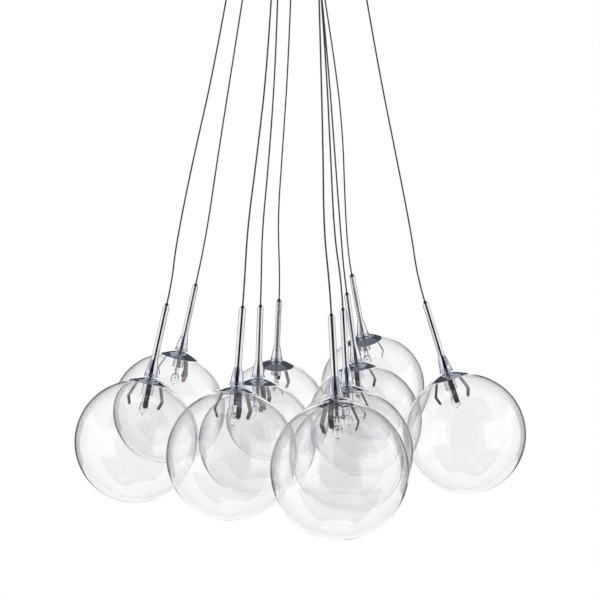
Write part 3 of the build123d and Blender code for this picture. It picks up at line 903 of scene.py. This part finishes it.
@dataclass
class Capsule:
    """Halogen capsule lamp: pinched quartz glass, a coil on its supports, foils and two pins."""

    seat: float
    top_drop: float = 0.0145
    pinch_half_w: float = 0.0042
    pinch_half_t: float = 0.0016
    pinch_len: float = 0.0110
    pinch_in: float = 0.0020
    bulb_r: float = 0.0052
    bulb_len: float = 0.0152
    bulb_wide_drop: float = 0.00684
    wall: float = 0.0009
    belly: tuple[float, float] = (0.82, 0.0024)  # a lower point: share of the radius, height over the foot
    shoulder: tuple[float, float] = (0.95, 0.0035)  # an upper point: the share, height over the widest place
    hollow_belly: tuple[float, float] = (0.80, 0.0036)
    hollow_shoulder: tuple[float, float] = (0.72, 0.0036)
    hollow_top_drop: float = 0.0014
    hollow_foot: float = 0.0006  # glass at the bulb's foot, over and above the wall
    neck: Triple = (-0.0005, 0.0008, 0.0020)  # heights over the bulb where the pinch has its full width
    pinch_edge: tuple[float, float] = (0.0003, 0.0004)  # in from its sides and down from its top
    press_low: float = 0.0025  # the pressing starts this far above the widest place
    press_high: float = 0.0012  # and is full this far above the bulb
    tip_r: float = 0.0010
    tip_len: float = 0.0026
    tip_root: float = 0.0003
    pin_r: float = 0.00035
    pin_len: float = 0.0070
    pin_in: float = 0.0022
    pin_half_pitch: float = 0.0020
    foil: Triple = (0.0013, 0.00006, 0.0045)
    foil_drop: float = 0.0046
    support_drop: float = 0.0064
    support_bends: tuple[tuple[float, float], ...] = ((1.0, 0.0012), (0.96, 0.0024))  # share of pitch, drop
    coil_leg: float = 0.0012
    metal_edge: float = 0.0001
    coil_r: float = 0.00055
    coil_half_len: float = 0.0016
    coil_turns: int = 9
    coil_wire_r: float = 0.00010
    support_r: float = 0.00018

    @property
    def top(self) -> float:
        """Top of the pinch above the globe's middle."""
        return self.seat - self.top_drop

    @property
    def bulb_top(self) -> float:
        """Where the bulb runs into the pinch."""
        return self.top - self.pinch_len + self.pinch_in

    @property
    def widest(self) -> float:
        """Height of the bulb's widest place."""
        return self.bulb_top - self.bulb_wide_drop

    def flattened(self, bm: BMesh) -> BMesh:
        """Presses a turned shape flat above the bulb, into a rounded rectangle.

        Args:
            bm: The turned shape.

        Returns:
            The same shape.
        """
        start, end = self.widest + self.press_low, self.bulb_top + self.press_high
        for vert in bm.verts:
            share = min(max((vert.co.z - start) / (end - start), 0.0), 1.0)
            share = share * share * (3 - 2 * share)
            radius = math.hypot(vert.co.x, vert.co.y)
            if share == 0 or radius < MERGE:
                continue
            cosine, sine = vert.co.x / radius, vert.co.y / radius
            flat_x = radius * math.copysign(math.sqrt(abs(cosine)), cosine)
            thin = radius / self.pinch_half_w * self.pinch_half_t
            flat_y = thin * math.copysign(math.sqrt(abs(sine)), sine)
            vert.co.x += share * (flat_x - vert.co.x)
            vert.co.y += share * (flat_y - vert.co.y)
        return bm

    def glass(self) -> Mesh:
        """Blows and pinches the quartz.

        Returns:
            The glass, hollow in the bulb.
        """
        foot, widest, pinch = self.bulb_top - self.bulb_len, self.widest, self.pinch_half_w
        outer = Outline(0, foot - self.tip_len)
        outer.line((0.3 * self.tip_r, foot - self.tip_len), (0.8 * self.tip_r, foot - 0.6 * self.tip_len))
        outer.line((self.tip_r, foot + self.tip_root))
        share, height = self.belly
        outer.arc((share * self.bulb_r, foot + height), (self.bulb_r, widest), steps=16)
        share, height = self.shoulder
        outer.arc((share * self.bulb_r, widest + height), (pinch, self.bulb_top + self.neck[0]), steps=10)
        outer.line(*((pinch, self.bulb_top + height) for height in self.neck[1:]))
        edge_in, edge_down = self.pinch_edge
        outer.line((pinch, self.top - edge_down), (pinch - edge_in, self.top), (0.8 * pinch, self.top))
        outer.line((0, self.top))
        shell = self.flattened(outer.turned(48, closed=False))
        inner_r, inner_top = self.bulb_r - self.wall, self.bulb_top - self.hollow_top_drop
        inner = Outline(0, foot + self.wall + self.hollow_foot)
        share, height = self.hollow_belly
        inner.arc((share * inner_r, foot + height), (inner_r, widest), steps=12)
        share, height = self.hollow_shoulder
        inner.arc((share * inner_r, widest + height), (0, inner_top), steps=12)
        hollow = inner.turned(48, closed=False)
        bmesh.ops.reverse_faces(hollow, faces=hollow.faces)
        return template(joined(shell, hollow))

    def leads(self) -> Mesh:
        """Makes the metal that the current runs through, but for the coil.

        Returns:
            The pins, the foils in the pinch and the wires that carry the coil.
        """
        parts = []
        for side in (-1, 1):
            x = side * self.pin_half_pitch
            pin = bar(self.pin_r, self.top - self.pin_in, self.top + self.pin_len, x, steps=16)
            parts.append(softened(pin, self.metal_edge))
            parts.append(box(self.foil, (x, 0, self.top - self.foil_drop)))
            points = [Vector((x, 0, self.top - self.support_drop))]
            points += [Vector((x * share, 0, self.bulb_top - drop)) for share, drop in self.support_bends]
            coil_x = side * self.coil_half_len
            points += [Vector((coil_x, 0, self.widest + rise)) for rise in (self.coil_leg, 0)]
            parts.append(wire(points, self.support_r))
        return template(joined(*parts))

    def coil(self) -> Mesh:
        """Winds the tungsten coil.

        Returns:
            The coil, level across the bulb.
        """
        bm = bmesh.new()
        ring = bmesh.ops.create_circle(bm, cap_ends=True, radius=self.coil_wire_r, segments=6)["verts"]
        bmesh.ops.rotate(bm, verts=ring, cent=(0, 0, 0), matrix=Matrix.Rotation(math.pi / 2, 3, "X"))
        bmesh.ops.translate(bm, verts=ring, vec=(-self.coil_half_len, 0, self.coil_r))
        steps = 16 * self.coil_turns
        cap = bm.faces[:]
        bmesh.ops.spin(
            bm, geom=cap, cent=(0, 0, 0), axis=X_AXIS, angle=FULL_TURN * self.coil_turns, steps=steps,
            dvec=(2 * self.coil_half_len / steps, 0, 0), use_merge=False,
        )
        bmesh.ops.translate(bm, verts=bm.verts, vec=(0, 0, self.widest))
        return template(cleaned(bm))


@dataclass
class PendantMaker:
    """Makes the pieces of all ten pendants, each shape once, and hangs them where the frame has them."""

    joints: dict[str, dict]
    bodies: dict[str, str]
    cord_r: float = 0.0010
    cord_end_run: float = 0.030  # length over which a cord comes into line with its stem
    cord_pivot: float = -0.0465  # height at which a cord leaves its bushing
    cord_steps: int = 16
    cord_roundness: int = 5
    globe: Globe = field(default_factory=Globe)

    def __post_init__(self) -> None:
        """Shapes each piece once."""
        seat, hole_r = self.globe.seat, self.globe.hole_r
        self.head = StemHead(seat, hole_r, self.globe.land)
        holder, capsule = LampHolder(seat), Capsule(seat)
        self.fixed_pieces: dict[str, tuple[Finish, Mesh]] = {
            "stem_tube": (Finish.STEM_CHROME, self.head.tube()),
            "stem_cone": (Finish.STEM_CHROME, self.head.cone()),
            "cap_disc": (Finish.STEM_CHROME, self.head.cap_disc()),
            "ferrule": (Finish.BLACK_PLASTIC, self.head.ferrule()),
            "stem_core": (Finish.CORD_SHEATH, self.head.core()),
            "spring_clips": (Finish.SPRING_STEEL, SpringSpider(seat, hole_r).mesh()),
            "lamp_sleeve": (Finish.SLEEVE_CHROME, holder.sleeve()),
            "lamp_socket": (Finish.CERAMIC, holder.socket()),
            "globe_glass": (Finish.GLOBE_GLASS, self.globe.mesh()),
        }
        self.lamp_pieces: dict[str, tuple[Finish, Mesh]] = {
            "capsule_glass": (Finish.LAMP_GLASS, capsule.glass()),
            "capsule_leads": (Finish.LAMP_WIRE, capsule.leads()),
            "capsule_coil": (Finish.TUNGSTEN, capsule.coil()),
        }

    def frame_of(self, number: int, hanging: Hanging) -> Matrix:
        """Where a pendant's pieces go.

        Args:
            number: The pendant's number.
            hanging: How it hangs.

        Returns:
            The place of its globe's middle, with Z up the stem.
        """
        joint = self.joints[f"turn_{number:02d}"]
        up = Vector(joint["axis"]).normalized()
        right = Vector((up.z, 0, -up.x)).normalized()
        turn = Matrix((right, up.cross(right), up)).transposed().to_4x4()
        middle = Vector(joint["pos_m"]) - up * self.head.height
        return Matrix.Translation(middle) @ turn @ Matrix.Rotation(math.radians(hanging.clips_deg), 4, "Z")

    def cord_route(self, number: int, hanging: Hanging) -> list[Vector]:
        """Finds how a cord runs.

        Args:
            number: The pendant's number.
            hanging: How it hangs.

        Returns:
            The cord's points from its bushing to the ferrule.
        """
        joint = self.joints[f"turn_{number:02d}"]
        angle = math.radians(hanging.hole_deg)
        start = Vector((hanging.hole_r * math.cos(angle), hanging.hole_r * math.sin(angle), self.cord_pivot))
        end = Vector(joint["pos_m"])
        points = [start]
        for share, right, back in hanging.bow:
            points.append(start + (end - start) * share + Vector((right * MM, back * MM, 0)))
        return points + [end + Vector(joint["axis"]) * self.cord_end_run, end]

    def add_cord(self, number: int, hanging: Hanging) -> None:
        """Adds a pendant's free cord, from the canopy to the ferrule.

        Args:
            number: The pendant's number.
            hanging: How it hangs.
        """
        name, body = f"cord_line_{number:02d}", self.bodies[f"cord_{number:02d}"]
        curve = bpy.data.curves.new(name, "CURVE")
        curve.dimensions = "3D"
        curve.bevel_depth, curve.bevel_resolution = self.cord_r, self.cord_roundness
        curve.resolution_u = self.cord_steps
        curve.use_fill_caps = True
        route = self.cord_route(number, hanging)
        spline = curve.splines.new("NURBS")
        spline.points.add(len(route) - 1)
        for point, place in zip(spline.points, route):
            point.co = (*place, 1)
        spline.order_u = 3
        spline.use_endpoint_u = True
        curve.materials.append(Finish.CORD_SHEATH.material)
        cord = linked(name, curve)
        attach(cord, body)
        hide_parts(f"cord_{number:02d}")
        log.info("%s rides on %s", name, body)

    def add_cords(self) -> None:
        """Adds all cords."""
        for number, hanging in enumerate(HANGINGS, start=1):
            self.add_cord(number, hanging)

    def add_heads(self) -> None:
        """Adds the metal, glass and lamp of every pendant."""
        for number, hanging in enumerate(HANGINGS, start=1):
            place = self.frame_of(number, hanging)
            added: dict[str, Object] = {}
            for group, node in ((self.fixed_pieces, "stem"), (self.lamp_pieces, "lamp")):
                body = self.bodies[f"{node}_{number:02d}"]
                for name, (finish, mesh) in group.items():
                    added[name] = add_piece(f"{name}_{number:02d}", mesh, finish, body, place)
                    log.info("%s rides on %s", added[name].name, body)
            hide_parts(f"stem_{number:02d}")
            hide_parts(f"clips_{number:02d}")
            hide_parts(f"lamp_{number:02d}")
            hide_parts(f"globe_{number:02d}")
            for name in ("globe_glass", "capsule_glass"):
                added[name].visible_shadow = False


# ---- canopy ------------------------------------------------------------------------------------
@dataclass
class Canopy:
    """Finishes of the canopy's own pieces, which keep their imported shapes."""

    nodes: dict[str, Object]
    finishes: dict[str, Finish] = field(
        default_factory=lambda: {
            "canopy_cup": Finish.CANOPY_CHROME,
            "mounting_plate": Finish.ZINC,
            "canopy_side_screws": Finish.CANOPY_CHROME,
            "transformer": Finish.BLACK_PLASTIC,
            "terminal_block": Finish.WHITE_PLASTIC,
            "terminal_screws": Finish.BRASS,
            "inner_screws": Finish.ZINC,
            "cord_bushings": Finish.BLACK_PLASTIC,
            "bushing_nuts": Finish.BRASS,
            "inner_leads": Finish.CORD_SHEATH,
        }
    )

    def dress(self) -> None:
        """Gives each node its finish."""
        for name, finish in self.finishes.items():
            node = self.nodes[name]
            node.data.materials.clear()
            node.data.materials.append(finish.material)
            log.info("%s has the finish %s", name, finish.name.lower())


# ---- studio ------------------------------------------------------------------------------------
@dataclass(frozen=True)
class Screen:
    """A dark part of the room, which only reflections show.

    Its sides are angles from straight behind the camera, to the viewer's right, and its ends are
    angles above the horizon.
    """

    left: float
    right: float
    low: float
    high: float
    tone: float
    distance: float = 4.0
    tint: Triple = (0.90, 0.96, 1.10)

    def shape(self) -> BMesh:
        """Makes the screen.

        Returns:
            A part of a ball round the origin.
        """
        low, high = math.radians(self.low), math.radians(self.high)
        edge, centre, top = (
            (self.distance * math.cos(angle), self.distance * math.sin(angle))
            for angle in (low, (low + high) / 2, high)
        )
        outline = Outline(*edge).arc(centre, top, steps=12)
        bm = outline.turned(24, closed=False, sweep=math.radians(self.right - self.left))
        from_right = Matrix.Rotation(math.radians(self.left - 90), 3, "Z")
        bmesh.ops.rotate(bm, verts=bm.verts, cent=(0, 0, 0), matrix=from_right)
        return bm


@dataclass(frozen=True)
class SoftLamp:
    """A soft square lamp."""

    name: str
    place: Triple
    power: float
    size: float = 1.6


@dataclass
class Studio:
    """Camera, lamps, floor and the white surroundings."""

    camera_place: Triple = (0.003, -1.6, -0.387)
    pitch_down_deg: float = 2.7023
    lens: float = 75.0
    sensor: float = 36.0
    floor_z: float = -2.4
    floor_r: float = 4.0
    floor_tone: float = 0.9
    floor_glow: float = 0.34
    floor_rough: tuple[float, float] = (0.7, 0.9)
    floor_clouds: float = 0.05
    surround_light: float = 0.6
    glass_bounces: int = 48
    mirror_bounces: int = 12
    clear_bounces: int = 32
    middle: Triple = (0.0, 0.0, -0.6)  # where the lamps point, and the middle of the screens
    lamps: tuple[SoftLamp, ...] = (
        SoftLamp("key", (-2.2, -1.6, 1.2), 45),
        SoftLamp("fill", (2.4, -1.2, 0.4), 25),
    )
    screens: tuple[Screen, ...] = (
        Screen(-33, 33, -20, 60, 0.015),
        Screen(-65, 65, -70, -20, 0.10, 1.75, (0.70, 0.90, 1.35)),
        Screen(-180, 180, 58, 89, 0.18),
        Screen(33, 118, 24, 58, 0.40),
        Screen(-118, -33, 24, 58, 0.40),
        Screen(118, 166, -22, 14, 0.16),
        Screen(-166, -118, -22, 14, 0.16),
        Screen(118, 166, 14, 58, 0.08),
        Screen(-166, -118, 14, 58, 0.08),
        Screen(166, 194, 20, 34, 0.03),
        Screen(166, 194, 34, 58, 0.42),
    )

    def add_camera(self) -> None:
        """Adds the camera at the photograph's angle."""
        data = bpy.data.cameras.new("camera")
        data.lens, data.sensor_width = self.lens, self.sensor
        data.clip_start, data.clip_end = 0.05, 100
        camera = linked("camera", data)
        camera.location = self.camera_place
        camera.rotation_euler = (math.radians(90 - self.pitch_down_deg), 0, 0)
        bpy.context.scene.camera = camera

    def add_lamps(self) -> None:
        """Adds the lamps, which point at the object and show in no reflection."""
        for soft in self.lamps:
            data = bpy.data.lights.new(soft.name, "AREA")
            data.shape, data.size, data.energy = "SQUARE", soft.size, soft.power
            lamp = linked(soft.name, data)
            lamp.location = soft.place
            ahead = Vector(self.middle) - Vector(soft.place)
            lamp.rotation_euler = ahead.to_track_quat("-Z", "Y").to_euler()
            lamp.visible_glossy = lamp.visible_transmission = False

    def add_floor(self) -> None:
        """Adds the pale floor, which keeps the object's shadow."""
        bm = bmesh.new()
        level = Matrix.Translation((0, 0, self.floor_z))
        bmesh.ops.create_circle(bm, cap_ends=True, radius=self.floor_r, segments=96, matrix=level)
        nodes = MaterialNodes("floor_paint")
        nodes.set(Base_Color=(*(self.floor_tone,) * 3, 1), Emission_Color=(1, 1, 1, 1))
        nodes.set(Emission_Strength=self.floor_glow, Specular_IOR_Level=0.0)
        nodes.feed("Roughness", nodes.span(nodes.noise(self.floor_clouds), *self.floor_rough))
        floor = linked("floor", mesh_of(bm, "floor"))
        floor.data.materials.append(nodes.material)

    @staticmethod
    def screen_material(name: str, screen: Screen) -> Material:
        """A dark surface that only rays which have met a mirror or a reflecting face see.

        Args:
            name: Name of the material.
            screen: The screen that wears it.

        Returns:
            The material.
        """
        material = bpy.data.materials.new(name)
        material.use_nodes = True
        tree = material.node_tree
        tree.nodes.clear()
        path = tree.nodes.new("ShaderNodeLightPath")
        reflected = tree.nodes.new("ShaderNodeMath")
        reflected.operation = "GREATER_THAN"
        reflected.inputs[1].default_value = 0.5  # true from the first reflection on
        clear = tree.nodes.new("ShaderNodeBsdfTransparent")
        dark = tree.nodes.new("ShaderNodeEmission")
        dark.inputs["Color"].default_value = (*(share * screen.tone for share in screen.tint), 1)
        mix = tree.nodes.new("ShaderNodeMixShader")
        output = tree.nodes.new("ShaderNodeOutputMaterial")
        tree.links.new(path.outputs["Glossy Depth"], reflected.inputs[0])
        tree.links.new(reflected.outputs[0], mix.inputs[0])
        tree.links.new(clear.outputs[0], mix.inputs[1])
        tree.links.new(dark.outputs[0], mix.inputs[2])
        tree.links.new(mix.outputs[0], output.inputs["Surface"])
        return material

    def add_screens(self) -> None:
        """Adds the dark parts of the room."""
        for number, screen in enumerate(self.screens):
            name = f"screen_{number}"
            bm = screen.shape()
            bmesh.ops.translate(bm, verts=bm.verts, vec=self.middle)
            piece = linked(name, mesh_of(bm, name))
            piece.data.materials.append(self.screen_material(name, screen))
            piece.visible_camera = piece.visible_diffuse = piece.visible_shadow = False

    def add_surroundings(self) -> None:
        """Sets a white world for what is seen, and a plain level for what it lights."""
        world = bpy.data.worlds.new("surroundings")
        world.use_nodes = True
        bpy.context.scene.world = world
        tree = world.node_tree
        background = tree.nodes["Background"]
        background.inputs["Color"].default_value = (1, 1, 1, 1)
        path = tree.nodes.new("ShaderNodeLightPath")
        seen = path.outputs["Is Camera Ray"]
        for name in ("Is Glossy Ray", "Is Transmission Ray"):
            either = tree.nodes.new("ShaderNodeMath")
            either.operation = "MAXIMUM"
            tree.links.new(seen, either.inputs[0])
            tree.links.new(path.outputs[name], either.inputs[1])
            seen = either.outputs[0]
        level = tree.nodes.new("ShaderNodeMapRange")
        level.inputs["To Min"].default_value = self.surround_light
        level.inputs["To Max"].default_value = 1.0
        tree.links.new(seen, level.inputs["Value"])
        tree.links.new(level.outputs["Result"], background.inputs["Strength"])

    def set_view(self) -> None:
        """Sets the colour view, and enough light bounces to see through all ten globes."""
        scene = bpy.context.scene
        scene.view_settings.view_transform = "Standard"
        scene.cycles.max_bounces = scene.cycles.transmission_bounces = self.glass_bounces
        scene.cycles.glossy_bounces = self.mirror_bounces
        scene.cycles.transparent_max_bounces = self.clear_bounces
        scene.cycles.caustics_reflective = scene.cycles.caustics_refractive = False
        scene.cycles.use_denoising = True

    def build(self) -> None:
        """Adds all but the camera."""
        self.add_lamps()
        self.add_floor()
        self.add_screens()
        self.add_surroundings()
        self.set_view()


def corners(box_corners: tuple[Vector, Vector]) -> list[list[float]]:
    """A box as plain lists of numbers."""
    return [list(corner) for corner in box_corners]


def main() -> None:
    """Builds the looks round the frame."""
    logging.basicConfig(level=logging.INFO, format="%(message)s")
    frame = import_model()
    studio = Studio()
    studio.add_camera()
    bodies = {node: body for body, nodes in frame["record"]["behaviour"]["bodies"].items() for node in nodes}
    pendants = PendantMaker({joint["name"]: joint for joint in frame["joints"]}, bodies)
    pendants.add_cords()
    pendants.add_heads()
    Canopy(frame["nodes"]).dress()
    studio.build()


if __name__ == "__main__":
    main()
